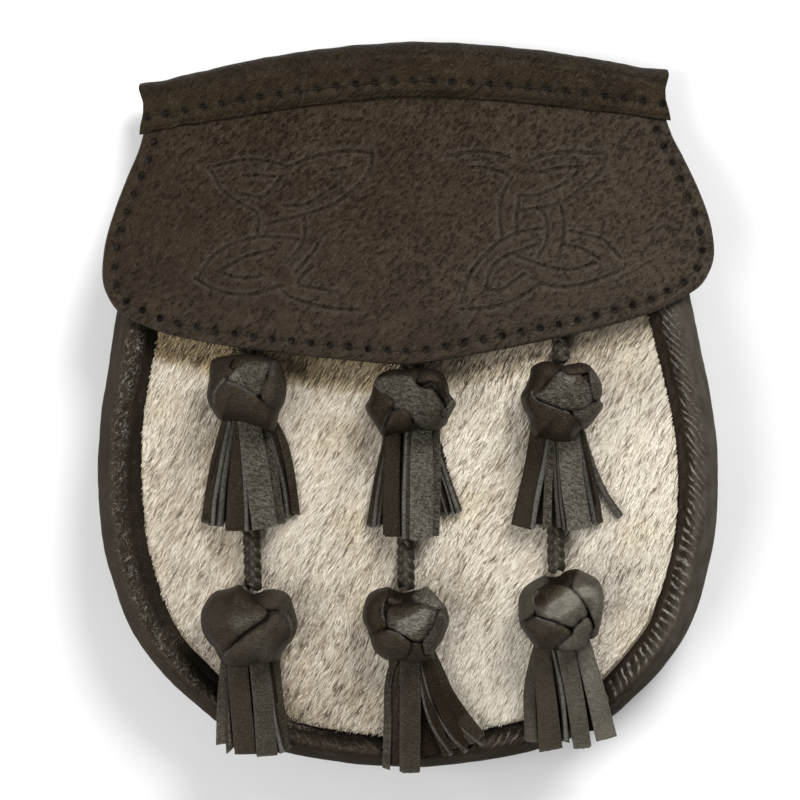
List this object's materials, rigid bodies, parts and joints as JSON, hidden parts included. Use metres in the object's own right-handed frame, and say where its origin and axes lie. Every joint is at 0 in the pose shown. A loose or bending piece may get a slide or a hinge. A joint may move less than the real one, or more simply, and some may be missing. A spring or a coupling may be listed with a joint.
{
  "type": "sporran pouch",
  "caption": "Leather sporran pouch with a hair-on hide front, padded rim, long embossed flap, belt loops and knotted leather tassels on braided thongs, lying on its back.",
  "frame": {"origin": "on the surface that the pouch lies on, under the middle of its outline without the tassels and thongs", "axes": "+X to the right of the front, +Y up the pouch towards the waist, +Z out of the front"},
  "size_m": [0.1882, 0.2219, 0.0492],
  "materials": {
    "body_leather": "plain dark brown leather, satin",
    "rim_leather": "dark brown leather rolled over padding, finely gathered, semi-gloss",
    "flap_leather": "dark brown pebble-grained leather, embossed and stitched, satin",
    "binding_leather": "dark brown pebble-grained leather, stitched, satin",
    "hair_on_hide": "short grey and cream hair on the hide",
    "tassel_leather": "soft black-brown leather with pale cut edges",
    "thong_leather": "near-black braided leather thong",
    "stud_metal": "plain metal press stud"
  },
  "bodies": {
    "root": {"back_panel": "body_leather", "side_gusset": "rim_leather", "front_panel": "hair_on_hide", "flap": "flap_leather", "top_binding": "binding_leather", "belt_loop_left": "body_leather", "belt_loop_right": "body_leather", "closure_stud": "stud_metal", "tassel_upper_left": "tassel_leather", "tassel_upper_middle": "tassel_leather", "tassel_upper_right": "tassel_leather", "tassel_lower_left": "tassel_leather", "tassel_lower_middle": "tassel_leather", "tassel_lower_right": "tassel_leather", "cord_upper_left": "thong_leather", "cord_upper_middle": "thong_leather", "cord_upper_right": "thong_leather", "cord_lower_left": "thong_leather", "cord_lower_middle": "thong_leather", "cord_lower_right": "thong_leather"}
  },
  "joints": []
}
